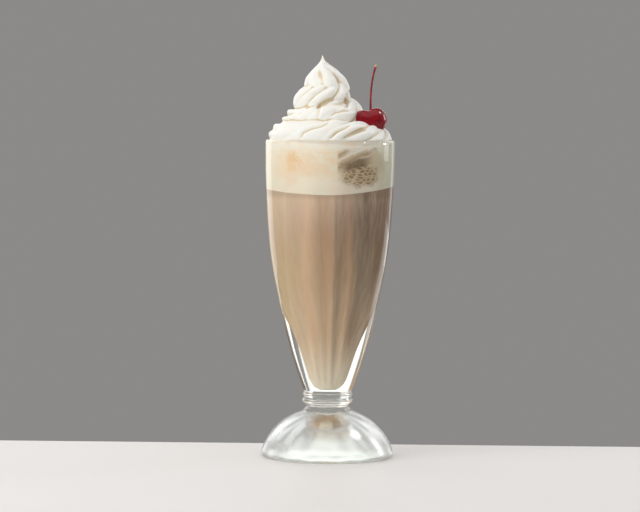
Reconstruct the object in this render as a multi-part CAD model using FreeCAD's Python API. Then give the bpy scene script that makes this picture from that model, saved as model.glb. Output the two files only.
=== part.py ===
import FreeCAD, Part

import math
import os

# Root beer float in a footed soda glass. Millimetres, +Z up, origin on the table under the
# middle of the foot. The front of the drink, where the cherry shows, faces -Y.
# Stations are rows of (position, value, ...), joined by smooth curves.

# Glass
GLASS_HEIGHT = 203.0
FOOT_RING_INNER = 37.6
FOOT_RING_OUTER = 40.6
FOOT_RADIUS = 42.3
NECK_RADIUS = 13.3
COLLAR_RADIUS = 16.3
LIP_RADIUS = 1.4
LIP_MIDDLE = 40.0
FLUTES = 14
FLUTE_TURN = math.radians(-80.5)
FLUTE_POINTS = 4
# Bowl's outside: (radius, height), from the waist above the collar to the lip
BOWL_OUTSIDE = [(15.1, 41.8), (17.5, 48.0), (24.1, 68.5), (31.7, 99.2), (37.6, 129.9),
                (39.9, 155.0), (41.3, 188.0), (LIP_MIDDLE + LIP_RADIUS, GLASS_HEIGHT - LIP_RADIUS)]
# Bowl's inside: (height, radius, flute depth). The wall is thick at the bottom.
BOWL_INSIDE = [(45.4, 3.6, 0.0), (46.4, 5.4, 0.1), (49.0, 7.0, 0.4), (58.0, 9.2, 0.8),
               (70.0, 11.8, 1.1), (81.0, 14.8, 1.2), (90.0, 17.8, 1.2), (100.0, 21.4, 1.2),
               (110.0, 25.2, 1.2), (130.0, 32.0, 1.1), (155.0, 36.7, 0.9), (180.0, 38.1, 0.5),
               (192.0, 38.6, 0.0), (GLASS_HEIGHT + 3.0, 38.8, 0.0)]
# Hollow under the foot: (height, radius, flute depth)
FOOT_HOLLOW = [(0.0, FOOT_RING_INNER, 0.0), (4.0, 35.5, 0.3), (9.0, 30.0, 0.5),
               (14.0, 22.5, 0.45), (18.0, 13.0, 0.2), (20.0, 4.0, 0.0)]
SECTION_STEP = 8.0

# Contents
DRINK_LEVEL = 168.6
FOAM_TOP = 196.4

# Whipped cream, a ridged rope piped in a rising coil. CREAM_COIL: (turns from the left-hand
# side, radius of the coil, height of the rope's middle, radius of the rope)
CREAM_COIL = [(-1.0, 27.8, 200.0, 10.4), (-0.5, 28.8, 202.0, 10.6), (0.0, 28.4, 203.4, 11.0),
              (0.25, 29.3, 205.2, 11.0), (0.37, 29.0, 205.6, 10.8), (0.45, 29.8, 202.6, 10.2),
              (0.5, 30.8, 201.0, 10.2), (1.0, 20.5, 213.2, 9.6), (1.5, 11.5, 219.4, 9.8),
              (2.0, 13.0, 227.0, 10.2), (2.5, 3.5, 231.5, 10.0), (2.9, 1.5, 234.0, 8.0)]
ROPE_RIDGES = 8
ROPE_GROOVE_DEPTH = 0.2      # as a share of the rope's radius
RIDGE_POWER = 0.8
RIDGE_SOFTNESS = 0.15
RIDGE_UNEVENNESS = 0.25
RIDGE_START = 0.25
# Twist of the rope: (turns, radians per millimetre of rope)
RIDGE_TWIST = [(-1.0, 0.067), (0.8, 0.067), (1.2, 0.085), (2.0, 0.11), (2.9, 0.11)]
# Pulled-up end of the rope: (height, radius, bearing of a groove in degrees from the front)
CREAM_TIP = [(224.0, 8.0, -40.0), (229.0, 12.4, -5.0), (232.0, 14.2, 18.0),
             (236.3, 14.8, 47.0), (241.5, 13.4, 46.0), (246.0, 9.9, 36.0), (250.0, 5.3, 24.0),
             (252.0, 2.9, 20.0), (254.5, 1.2, 15.0), (257.6, 0.25, 10.0)]
TIP_GROOVES = 6
TIP_GROOVE_DEPTH = 0.16      # as a share of the tip's radius
# Middle line of the coil: (height, x, y)
CREAM_LEAN = [(210.0, 0.0, 0.0), (225.0, -1.3, 0.0), (236.0, -2.2, -0.8), (246.0, -3.5, -1.0),
              (251.0, -4.8, -0.8), (258.0, -6.0, -0.5)]
CREAM_IN_GLASS = 38.4
CREAM_COLUMNS = 96
CREAM_ROW_STEP = 1.6
CREASE_SOFTNESS = 0.35

# Cherry
CHERRY_RADIUS = 9.6
CHERRY_CENTRE = (26.4, -7.8, 215.6)
CHERRY_LEAN = math.radians(11.0)
CHERRY_FLATNESS = 0.12
DIMPLE_DEPTH = 3.0
DIMPLE_WIDTH = 0.42
CLEFT_DEPTH = 1.1
CLEFT_WIDTH = 0.32
CHERRY_RINGS = 18
CHERRY_COLUMNS = 36
STEM_RADIUS = 0.7
STEM_BEND_RADIUS = 71.0
STEM_STRAIGHT = 10.5
STEM_BEND_ANGLE = math.radians(17.5)
STEM_KNOB_RADIUS = 0.95

COINCIDENT = 1e-6


def smooth(stations, x, column=1):
    """Value of a column of the stations at x, on a cubic curve that never overshoots them."""
    xs = [s[0] for s in stations]
    ys = [s[column] for s in stations]
    if x <= xs[0]:
        return ys[0]
    if x >= xs[-1]:
        return ys[-1]
    slopes = [(ys[i + 1] - ys[i]) / (xs[i + 1] - xs[i]) for i in range(len(xs) - 1)]
    tangents = [slopes[0]]
    for before, after in zip(slopes, slopes[1:]):
        same_way = before * after > 0
        tangents.append(2 * before * after / (before + after) if same_way else 0.0)
    tangents.append(slopes[-1])
    i = max(j for j in range(len(xs) - 1) if xs[j] <= x)
    step = xs[i + 1] - xs[i]
    u = (x - xs[i]) / step
    return (ys[i] * (1 + 2 * u) * (1 - u) ** 2 + ys[i + 1] * u * u * (3 - 2 * u)
            + step * u * (1 - u) * (tangents[i] * (1 - u) - tangents[i + 1] * u))


def point(radius, height):
    """Point of a turned profile, in the XZ plane."""
    return FreeCAD.Vector(radius, 0, height)


def line(a, b):
    """Straight edge of a turned profile."""
    return Part.LineSegment(point(*a), point(*b)).toShape()


def arc(a, middle, b):
    """Round edge of a turned profile, through three points."""
    return Part.Arc(point(*a), point(*middle), point(*b)).toShape()


def glass_outside():
    """Turned body of the glass, with no hollows: foot, neck, two-ring collar, bowl and lip."""
    bowl = Part.BSplineCurve()
    bowl.interpolate(Points=[point(*p) for p in BOWL_OUTSIDE],
                     InitialTangent=FreeCAD.Vector(0.1, 0, 1), FinalTangent=FreeCAD.Vector(0, 0, 1))
    lip_outer, lip_inner = LIP_MIDDLE + LIP_RADIUS, LIP_MIDDLE - LIP_RADIUS
    lip_height = GLASS_HEIGHT - LIP_RADIUS
    edges = [
        line((0, 0), (FOOT_RING_OUTER, 0)),
        arc((FOOT_RING_OUTER, 0), (FOOT_RADIUS - 0.35, 1.3), (FOOT_RADIUS, 3.2)),
        arc((FOOT_RADIUS, 3.2), (34.6, 17.3), (15.1, 29.6)),
        arc((15.1, 29.6), (14.9, 30.9), (13.9, 31.6)),
        arc((13.9, 31.6), (NECK_RADIUS, 32.6), (14.1, 33.6)),
        arc((14.1, 33.6), (COLLAR_RADIUS, 36.0), (15.4, 38.3)),
        arc((15.4, 38.3), (COLLAR_RADIUS - 0.4, 40.0), BOWL_OUTSIDE[0]),
        bowl.toShape(),
        arc((lip_outer, lip_height), (LIP_MIDDLE, GLASS_HEIGHT), (lip_inner, lip_height)),
        line((lip_inner, lip_height), (0, lip_height)),
        line((0, lip_height), (0, 0)),
    ]
    profile = Part.Face(Part.Wire(edges))
    return profile.revolve(FreeCAD.Vector(0, 0, 0), FreeCAD.Vector(0, 0, 1), 360)


def fluted_section(radius, depth, height):
    """Closed curve of the given radius at a height, with shallow flutes pressed inwards."""
    points = []
    for i in range(FLUTES * FLUTE_POINTS):
        bearing = 2 * math.pi * i / (FLUTES * FLUTE_POINTS)
        wave = 0.5 - 0.5 * math.cos(FLUTES * (bearing - FLUTE_TURN))
        r = radius - depth * wave
        points.append(FreeCAD.Vector(r * math.cos(bearing), r * math.sin(bearing), height))
    curve = Part.BSplineCurve()
    curve.interpolate(Points=points, PeriodicFlag=True)
    return Part.Wire([curve.toShape()])


def fluted_hollow(stations):
    """Solid that fills a fluted hollow, lofted through sections at the stations and between."""
    heights = []
    for (low, *_), (high, *_) in zip(stations, stations[1:]):
        steps = max(1, round((high - low) / SECTION_STEP))
        heights += [low + (high - low) * i / steps for i in range(steps)]
    heights.append(stations[-1][0])
    wires = [fluted_section(smooth(stations, z), smooth(stations, z, 2), z) for z in heights]
    return Part.makeLoft(wires, True, False)


def slab(low, high):
    """Wide flat block between two heights, for cutting a layer out of the bowl's inside."""
    side = 4 * FOOT_RADIUS
    return Part.makeBox(side, side, high - low, FreeCAD.Vector(-side / 2, -side / 2, low))


def faceted_solid(rings, bottom, top):
    """Closed solid of triangles over rings of points, closed by a point at each end."""
    count = len(rings[0])
    points = [bottom, top] + [p for ring in rings for p in ring]
    first, last = 2, 2 + count * (len(rings) - 1)
    triangles = []
    for i in range(count):
        j = (i + 1) % count
        triangles.append((0, first + j, first + i))
        triangles.append((1, last + i, last + j))
        for start in range(first, last, count):
            low, next_low = start + i, start + j
            triangles.append((low, next_low, next_low + count))
            triangles.append((low, next_low + count, low + count))
    skin = Part.Shape()
    skin.makeShapeFromMesh(([FreeCAD.Vector(*p) for p in points], triangles), COINCIDENT)
    solid = Part.makeSolid(Part.makeShell(skin.Faces))
    if solid.Volume < 0:
        solid.reverse()
    return solid


def smooth_maximum(values):
    """Largest of the values, with the crease where two meet softened."""
    top = max(values)
    total = sum(math.exp((v - top) / CREASE_SOFTNESS) for v in values)
    return top + CREASE_SOFTNESS * math.log(total)


def ridge(wave, ridges):
    """Height of a ridge, 1 on its crest and 0 in the groove, at an angle round the rope."""
    height = math.hypot(math.cos(ridges / 2 * wave), RIDGE_SOFTNESS) - RIDGE_SOFTNESS
    return (height / (math.hypot(1.0, RIDGE_SOFTNESS) - RIDGE_SOFTNESS)) ** RIDGE_POWER


def rope_twist(turns):
    """Twist of the rope's ridges after the given number of turns, in radians."""
    steps = 40
    twist = RIDGE_START
    for i in range(steps):
        middle = turns * (i + 0.5) / steps
        length = 2 * math.pi * smooth(CREAM_COIL, middle) * turns / steps
        twist += smooth(RIDGE_TWIST, middle) * length
    return twist


def rope_section(turns):
    """(radius, height) points round the rope's outer half, its grooves faded where turns press."""
    coil, height, rope = (smooth(CREAM_COIL, turns, c) for c in (1, 2, 3))
    twist = rope_twist(turns)
    samples = 72
    points = []
    for i in range(samples + 1):
        angle = math.pi * (i / samples - 0.5)
        wave = angle - twist
        wave += RIDGE_UNEVENNESS * math.sin(wave + 0.5)
        groove = ROPE_GROOVE_DEPTH * max(0.0, math.cos(angle)) ** 0.5 * (1 - ridge(wave, ROPE_RIDGES))
        r = rope * (1 - groove)
        points.append((coil + r * math.cos(angle), height + r * math.sin(angle)))
    return points


def reach(points, height):
    """Furthest radius at which the line through the points crosses a height, or None."""
    found = None
    for (r0, z0), (r1, z1) in zip(points, points[1:]):
        if min(z0, z1) <= height <= max(z0, z1) and abs(z1 - z0) > COINCIDENT:
            r = r0 + (r1 - r0) * (height - z0) / (z1 - z0)
            found = r if found is None else max(found, r)
    return found


def tip_reach(bearing, height):
    """Radius of the pulled-up end at a bearing and height."""
    groove = math.radians(smooth(CREAM_TIP, height, 2) - 90 + 180 / TIP_GROOVES)
    radius = smooth(CREAM_TIP, height)
    return radius * (1 - TIP_GROOVE_DEPTH * (1 - ridge(bearing - groove, TIP_GROOVES)))


def cream_radii(bearing, heights):
    """Radii of the swirl up one bearing: the furthest of the rope's turns and the pulled-up end."""
    share = (bearing / (2 * math.pi) + 0.5) % 1.0
    turns = [share + k for k in range(-1, 3) if share + k <= CREAM_COIL[-1][0]]
    sections = [rope_section(t) for t in turns]
    radii = []
    for height in heights:
        reached = [reach(section, height) for section in sections]
        found = [r for r in reached if r is not None]
        if height > CREAM_TIP[0][0]:
            found.append(tip_reach(bearing, height))
        radii.append(smooth_maximum(found))
    return radii


def cream_ring(height, radii):
    """Closed ring of points at a height, at the given radii from the leaning middle line."""
    x, y = smooth(CREAM_LEAN, height), smooth(CREAM_LEAN, height, 2)
    ring = []
    for i, r in enumerate(radii):
        bearing = 2 * math.pi * i / CREAM_COLUMNS
        ring.append((x + r * math.cos(bearing), y + r * math.sin(bearing), height))
    return ring


def cream():
    """Whipped cream swirl, flat underneath where it floats on the foam."""
    low, high = GLASS_HEIGHT + 0.25, CREAM_TIP[-1][0] - 0.4
    rows = round((high - low) / CREAM_ROW_STEP)
    heights = [low + (high - low) * i / rows for i in range(rows + 1)]
    bearings = [2 * math.pi * i / CREAM_COLUMNS for i in range(CREAM_COLUMNS)]
    columns = [cream_radii(bearing, heights) for bearing in bearings]
    inside = [CREAM_IN_GLASS] * CREAM_COLUMNS
    rings = [cream_ring(FOAM_TOP, inside), cream_ring(GLASS_HEIGHT + 0.05, inside)]
    rings += [cream_ring(height, radii) for height, radii in zip(heights, zip(*columns))]
    x, y = smooth(CREAM_LEAN, high), smooth(CREAM_LEAN, high, 2)
    return faceted_solid(rings, (0, 0, FOAM_TOP), (x, y, CREAM_TIP[-1][0]))


def cherry_point(polar, azimuth):
    """Point of the cherry's skin, from the stem end (polar 0) to the blossom end (polar pi)."""
    r = CHERRY_RADIUS * (1 - CHERRY_FLATNESS * math.cos(polar) ** 2)
    r -= DIMPLE_DEPTH * math.exp(-((polar / DIMPLE_WIDTH) ** 2))
    off = min(abs(math.remainder(azimuth - side, 2 * math.pi)) for side in (-math.pi / 2, math.pi / 2))
    fade = math.sin(polar) * max(0.0, math.cos(polar / 2)) ** 2
    r -= CLEFT_DEPTH * fade * math.exp(-((off / CLEFT_WIDTH) ** 2))
    x = r * math.sin(polar) * math.cos(azimuth)
    y = r * math.sin(polar) * math.sin(azimuth)
    z = r * math.cos(polar)
    c, s = math.cos(CHERRY_LEAN), math.sin(CHERRY_LEAN)
    cx, cy, cz = CHERRY_CENTRE
    return (cx + c * x - s * z, cy + y, cz + s * x + c * z)


def cherry():
    """Whole cherry with a dimple for its stem and a cleft down two sides."""
    rings = []
    for k in range(1, CHERRY_RINGS):
        polar = math.pi * (1 - k / CHERRY_RINGS)
        ring = [cherry_point(polar, 2 * math.pi * i / CHERRY_COLUMNS) for i in range(CHERRY_COLUMNS)]
        rings.append(ring)
    return faceted_solid(rings, cherry_point(math.pi, 0.0), cherry_point(0.0, 0.0))


def stem():
    """Cherry stem: straight out of the dimple, then bent to the right, with a knob on its end."""
    x, y, z = cherry_point(0.0, 0.0)
    foot = FreeCAD.Vector(x, y, z - 2.0)
    bend = foot + FreeCAD.Vector(0, 0, STEM_STRAIGHT)

    def on_bend(angle):
        across = STEM_BEND_RADIUS * (1 - math.cos(angle))
        return bend + FreeCAD.Vector(across, 0, STEM_BEND_RADIUS * math.sin(angle))

    path = Part.Wire([
        Part.LineSegment(foot, bend).toShape(),
        Part.Arc(bend, on_bend(STEM_BEND_ANGLE / 2), on_bend(STEM_BEND_ANGLE)).toShape(),
    ])
    circle = Part.Wire([Part.makeCircle(STEM_RADIUS, foot, FreeCAD.Vector(0, 0, 1))])
    rod = path.makePipeShell([circle], True, False)
    knob = Part.makeSphere(STEM_KNOB_RADIUS, on_bend(STEM_BEND_ANGLE))
    return rod.fuse(knob)


def build():
    """All pieces of the float, by node name."""
    inside = fluted_hollow(BOWL_INSIDE)
    glass = glass_outside().cut(inside).cut(fluted_hollow(FOOT_HOLLOW))
    drink = inside.common(slab(0, DRINK_LEVEL))
    foam = inside.common(slab(DRINK_LEVEL, FOAM_TOP))
    stalk = stem()
    whole_cherry = cherry()
    swirl = cream().cut(whole_cherry)
    return {
        "glass": glass,
        "drink": drink,
        "foam_head": foam,
        "whipped_cream": swirl,
        "cherry": whole_cherry.cut(stalk),
        "cherry_stem": stalk,
    }


def main():
    os.makedirs("parts", exist_ok=True)
    for name, shape in build().items():
        solids = shape.Solids
        shape = solids[0] if len(solids) == 1 else Part.makeCompound(solids)
        shape.exportStep(f"parts/{name}.step")
        print(f"{name}: {len(solids)} solid, valid {shape.isValid()}, {shape.Volume / 1000:.1f} cm3")


main()
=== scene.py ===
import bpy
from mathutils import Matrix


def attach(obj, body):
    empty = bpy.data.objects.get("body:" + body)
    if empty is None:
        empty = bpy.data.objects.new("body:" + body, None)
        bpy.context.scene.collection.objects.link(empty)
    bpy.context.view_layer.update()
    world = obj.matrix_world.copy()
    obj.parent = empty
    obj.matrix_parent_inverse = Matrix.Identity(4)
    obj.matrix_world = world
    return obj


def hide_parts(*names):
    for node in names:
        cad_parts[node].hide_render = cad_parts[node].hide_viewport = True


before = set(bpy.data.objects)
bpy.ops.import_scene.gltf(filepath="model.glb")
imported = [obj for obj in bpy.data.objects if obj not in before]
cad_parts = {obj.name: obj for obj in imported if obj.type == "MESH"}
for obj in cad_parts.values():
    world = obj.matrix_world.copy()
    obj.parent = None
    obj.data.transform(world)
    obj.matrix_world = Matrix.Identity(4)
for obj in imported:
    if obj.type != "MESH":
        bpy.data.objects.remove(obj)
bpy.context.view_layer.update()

"""Looks of a root beer float in a footed soda glass.

Sizes are in millimetres and are turned to metres where a mesh is made. The front of the drink
faces -Y. A bearing is an angle round the glass's axis in radians, 0 towards +X.
"""

import logging
import math
from dataclasses import dataclass
from enum import Enum
from functools import cached_property
from typing import Any, Sequence

import bpy
import numpy as np
from mathutils import Matrix, Vector

LOG = logging.getLogger("root_beer_float")
MM = 0.001
BODY = "root"
FRONT = -math.pi / 2
# Places at which a curve is worked out
SAMPLES = 2001
Pair = tuple[float, float]
Point = tuple[float, float, float]
Stations = tuple[tuple[float, ...], ...]
# A straight line from one point to another, or an arc through three, and the spacing along it
Stretch = tuple[tuple[Pair, ...], float]
Rings = np.ndarray
Socket = bpy.types.NodeSocket


class Slot(Enum):
    """Material slots of the record."""

    GLASS = "glass"
    ROOT_BEER = "root_beer"
    FOAM = "foam"
    CREAM = "cream"
    CHERRY = "cherry"
    STEM = "stem"


def linear(code: str) -> tuple[float, float, float, float]:
    """Turns an sRGB colour into the linear values that shaders use.

    A dark channel is divided by 12.92, and any other is ((c + 0.055) / 1.055) ** 2.4.

    Args:
        code: Six hexadecimal digits after a hash sign.

    Returns:
        Linear red, green and blue, and an alpha of 1.
    """
    channels = [int(code[i:i + 2], 16) / 255 for i in (1, 3, 5)]
    red, green, blue = (c / 12.92 if c <= 0.04045 else ((c + 0.055) / 1.055) ** 2.4 for c in channels)
    return red, green, blue, 1.0


# Curves and surfaces


@dataclass(frozen=True)
class Curve:
    """A smooth curve through stations, each a row of a position and the values there.

    A cubic joins each station to the next. Its slope at a station is the harmonic mean of the
    slopes on both sides, or 0 where they differ in sign, so that it never swings past a station.
    A running mean over a short share of its length then rounds each station.
    """

    stations: Stations
    stretch: float = 0.04

    def at(self, position: np.ndarray | float, column: int = 1) -> np.ndarray:
        """Reads the curve.

        Args:
            position: Where to read it, in the stations' first column.
            column: Which column of the stations to read.

        Returns:
            The values at those positions.
        """
        table = np.array(self.stations, float)
        xs, ys = table[:, 0], table[:, column]
        slope = np.diff(ys) / np.diff(xs)
        tangent = np.concatenate([slope[:1], np.zeros(len(xs) - 2), slope[-1:]])
        before, after = slope[:-1], slope[1:]
        same_way = before * after > 0
        total = np.where(same_way, before + after, 1.0)
        tangent[1:-1] = np.where(same_way, 2 * before * after / total, 0.0)
        x = np.linspace(xs[0], xs[-1], SAMPLES)
        i = np.clip(np.searchsorted(xs, x, side="right") - 1, 0, len(xs) - 2)
        step = xs[i + 1] - xs[i]
        u = (x - xs[i]) / step
        y = (ys[i] * (1 + 2 * u) * (1 - u) ** 2 + ys[i + 1] * u * u * (3 - 2 * u)
             + step * u * (1 - u) * (tangent[i] * (1 - u) - tangent[i + 1] * u))
        half = max(1, int(self.stretch * SAMPLES / 2))
        window = np.hanning(2 * half + 3)[1:-1]
        padded = np.pad(y, half, mode="reflect", reflect_type="odd")
        y = np.convolve(padded, window / window.sum(), mode="valid")
        return np.interp(position, x, y)

    def spaced(self, count: int) -> np.ndarray:
        """Positions spaced evenly from the first station to the last."""
        return np.linspace(self.stations[0][0], self.stations[-1][0], count)


def arc_through(a: Pair, middle: Pair, b: Pair, count: int = 41) -> np.ndarray:
    """Points of the circular arc through three points of a plane.

    With the points as complex numbers and w = (b - a) / (m - a), the arc's middle is at
    a + (m - a) (w - |w| ** 2) / (2 i Im w).

    Args:
        a: First point.
        middle: A point between the ends.
        b: Last point.
        count: How many points to give.

    Returns:
        The points, one to a row, from a to b.
    """
    za, zm, zb = complex(*a), complex(*middle), complex(*b)
    w = (zb - za) / (zm - za)
    centre = (zm - za) * (w - abs(w) ** 2) / (2j * w.imag) + za
    first = np.angle(za - centre)
    sweep_middle = np.angle((zm - centre) / (za - centre))
    sweep = np.angle((zb - centre) / (za - centre))
    if sweep_middle > 0 > sweep:
        sweep += 2 * math.pi
    if sweep_middle < 0 < sweep:
        sweep -= 2 * math.pi
    angle = first + np.linspace(0, sweep, count)
    points = centre + abs(za - centre) * np.exp(1j * angle)
    return np.stack([points.real, points.imag], axis=1)


def evenly(line: np.ndarray, step: float) -> np.ndarray:
    """Spaces the points of a line evenly along its length.

    Args:
        line: Rows of a radius, a height and any further values.
        step: Distance between the new points.

    Returns:
        The new rows, from the first point of the line to its last.
    """
    length = np.concatenate([[0.0], np.cumsum(np.hypot(*np.diff(line[:, :2], axis=0).T))])
    count = max(2, round(length[-1] / step) + 1)
    at = np.linspace(0, length[-1], count)
    return np.stack([np.interp(at, length, line[:, c]) for c in range(line.shape[1])], axis=1)


def closed_object(name: str, shells: Sequence[tuple[Rings, Sequence[float], Sequence[float]]],
                  material: bpy.types.Material) -> bpy.types.Object:
    """Makes a mesh object of closed shells.

    Each shell is a grid of rings, where ring i goes round to its own start, and a pole point
    closes each end. Faces are outward when the rings run counterclockwise seen from the last.

    Args:
        name: Name of the object.
        shells: For each shell, rings of shape (rows, columns, 3), its first pole and its last.
        material: Its finish.

    Returns:
        The object, linked to the scene.
    """
    points, quads, triangles, start = [], [], [], 0
    for rings, first_pole, last_pole in shells:
        rows, columns = rings.shape[:2]
        index = start + np.arange(rows * columns).reshape(rows, columns)
        beside = np.roll(index, -1, axis=1)
        quads.append(np.stack([index[:-1], beside[:-1], beside[1:], index[1:]], axis=2).reshape(-1, 4))
        low, high = start + rows * columns, start + rows * columns + 1
        triangles.append(np.stack([np.full(columns, low), beside[0], index[0]], axis=1))
        triangles.append(np.stack([np.full(columns, high), index[-1], beside[-1]], axis=1))
        points += [rings.reshape(-1, 3), np.array([first_pole, last_pole], float)]
        start = high + 1
    faces = np.concatenate([a.ravel() for a in quads + triangles])
    sizes = np.concatenate([np.full(len(a), a.shape[1]) for a in quads + triangles])
    mesh = bpy.data.meshes.new(name)
    mesh.vertices.add(start)
    mesh.vertices.foreach_set("co", (np.concatenate(points) * MM).ravel())
    mesh.loops.add(len(faces))
    mesh.loops.foreach_set("vertex_index", faces)
    mesh.polygons.add(len(sizes))
    mesh.polygons.foreach_set("loop_start", np.concatenate([[0], np.cumsum(sizes)[:-1]]))
    mesh.polygons.foreach_set("loop_total", sizes)
    mesh.update(calc_edges=True)
    mesh.shade_smooth()
    mesh.materials.append(material)
    LOG.info("%s: %d vertices, %d faces", name, len(mesh.vertices), len(mesh.polygons))
    return linked(name, mesh)


def show(obj: bpy.types.Object, node: str) -> bpy.types.Object:
    """Lets a piece stand for a CAD node.

    Args:
        obj: The piece.
        node: The CAD node it stands for.

    Returns:
        The piece.
    """
    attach(obj, BODY)
    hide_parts(node)
    return obj


def linked(name: str, data: bpy.types.ID) -> bpy.types.Object:
    """Makes an object and links it to the scene.

    Args:
        name: Its name.
        data: Its mesh, lamp or camera.

    Returns:
        The object.
    """
    obj = bpy.data.objects.new(name, data)
    bpy.context.scene.collection.objects.link(obj)
    return obj


# Finishes


def scale(size: float) -> float:
    """The scale of a pattern whose blotches are this many millimetres wide."""
    return 1 / (size * MM)


@dataclass(frozen=True)
class Patch:
    """A soft patch: its middle, its reach along X, Y and Z, and how rough its edge is and how finely."""

    centre: Point
    radii: Point
    rough: float = 0.3
    size: float = 6.0


class Nodes:
    """The node tree of one material or world, built one node at a time."""

    def __init__(self, name: str, world: bool = False) -> None:
        """Makes a material or a world with an empty tree.

        Args:
            name: Its name.
            world: Whether it is a world.
        """
        self.owner = bpy.data.worlds.new(name) if world else bpy.data.materials.new(name)
        self.owner.use_nodes = True
        self.tree = self.owner.node_tree
        self.tree.nodes.clear()

    def add(self, kind: str, *inputs: Any, out: int | str = 0, **settings: Any) -> Any:
        """Adds a node with its settings and links.

        Args:
            kind: Its type without the first words, or an operation on numbers in capitals.
            inputs: Values and sockets for its inputs in order, None to leave one as it is, or
                one table of them by name or number.
            out: Which of its outputs to give.
            settings: Properties of the node.

        Returns:
            That output, or None where the node has no outputs.
        """
        if kind.isupper():
            kind, settings = "Math", {"operation": kind}
        node = self.tree.nodes.new("ShaderNode" + kind)
        for key, value in settings.items():
            setattr(node, key, value)
        table = inputs[0] if inputs and isinstance(inputs[0], dict) else dict(enumerate(inputs))
        for key, value in table.items():
            if isinstance(value, Socket):
                self.tree.links.new(value, node.inputs[key])
            elif value is not None:
                node.inputs[key].default_value = value
        return node.outputs[out] if len(node.outputs) else None

    @cached_property
    def place(self) -> Socket:
        """The place on the surface, in the object's own coordinates."""
        return self.add("TexCoord", out="Object")

    def axis(self, name: str) -> Socket:
        """A coordinate, X, Y or Z, in millimetres."""
        return self.add("MULTIPLY", self.add("SeparateXYZ", self.place, out=name), 1 / MM)

    def tint(self, colour: Any, mask: Any, share: Any, over: Any) -> Socket:
        """Lays a colour over another.

        Args:
            colour: The colour so far, a socket or a code.
            mask: Where the new colour goes, from 0 to 1.
            share: How much of it shows where the mask is 1.
            over: The new colour, a socket or a code.

        Returns:
            The colour with the new one over it.
        """
        under, over = (linear(c) if isinstance(c, str) else c for c in (colour, over))
        factor = self.add("MULTIPLY", mask, share)
        return self.add("Mix", {0: factor, 6: under, 7: over}, out=2, data_type="RGBA")

    def ramp(self, value: Any, low: float, high: float, stops: Sequence[Pair]) -> Socket:
        """A number that changes along a coordinate, through given stops.

        Args:
            value: The coordinate.
            low: Where the ramp begins.
            high: Where the ramp ends.
            stops: Places and the numbers there, from 0 to 1.

        Returns:
            The number.
        """
        number = self.add("ValToRGB", self.add("MapRange", value, low, high))
        elements = number.node.color_ramp.elements
        for _ in stops[2:]:
            elements.new(0.5)
        for element, (where, level) in zip(elements, stops):
            element.position = (where - low) / (high - low)
            element.color = (level, level, level, 1)
        return number

    def where(self, *limits: tuple[Socket, float, float]) -> Socket:
        """Where all the limits hold: the product of soft steps.

        Args:
            limits: For each step a value, where the step is 0 and where it is 1.

        Returns:
            A number from 0 to 1.
        """
        share, *others = (self.add("MapRange", *limit, interpolation_type="SMOOTHSTEP") for limit in limits)
        for step in others:
            share = self.add("MULTIPLY", share, step)
        return share

    def blotches(self, size: float, detail: float, low: float, high: float) -> Socket:
        """Blotches of a size in millimetres, from 0 where the noise is low to 1 where it is high."""
        return self.where((self.add("TexNoise", self.place, None, scale(size), detail), low, high))

    def patch(self, patch: Patch) -> Socket:
        """A soft patch, whose edge wanders with the noise.

        Args:
            patch: Where it lies.

        Returns:
            A number from 0 to 1.
        """
        shift = self.add("VectorMath", self.place, [c * MM for c in patch.centre], operation="SUBTRACT")
        scaled = self.add("VectorMath", shift, [r * MM for r in patch.radii], operation="DIVIDE")
        distance = self.add("VectorMath", scaled, operation="LENGTH", out="Value")
        uneven = self.add("SUBTRACT", self.add("TexNoise", self.place, None, scale(patch.size), 3.0), 0.5)
        distance = self.add("ADD", distance, self.add("MULTIPLY", uneven, patch.rough * 4))
        return self.where((distance, 1.2, 0.6))

    def surface(self, inputs: dict[str, Any]) -> bpy.types.Material:
        """Ends the tree with a Principled shader of these inputs, and gives the material."""
        self.add("OutputMaterial", self.add("BsdfPrincipled", inputs))
        return self.owner


@dataclass(frozen=True)
class PressedGlass:
    """Clear soda-lime glass: bright edges, cloudier down the thick bowl and in the pressed foot."""

    tint: str = "#fafdfa"
    refraction: float = 1.5
    # Heights and the roughness there
    cloudiness: tuple[Pair, ...] = ((0, 0.2), (34, 0.2), (48, 0.07), (85, 0.05), (110, 0.0))

    def material(self) -> bpy.types.Material:
        """Makes the finish.

        Returns:
            The material.
        """
        nodes = Nodes("pressed_glass")
        return nodes.surface({
            "Base Color": linear(self.tint),
            "Roughness": nodes.ramp(nodes.axis("Z"), 0, 120, self.cloudiness),
            "IOR": self.refraction, "Transmission Weight": 1.0,
        })


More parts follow.
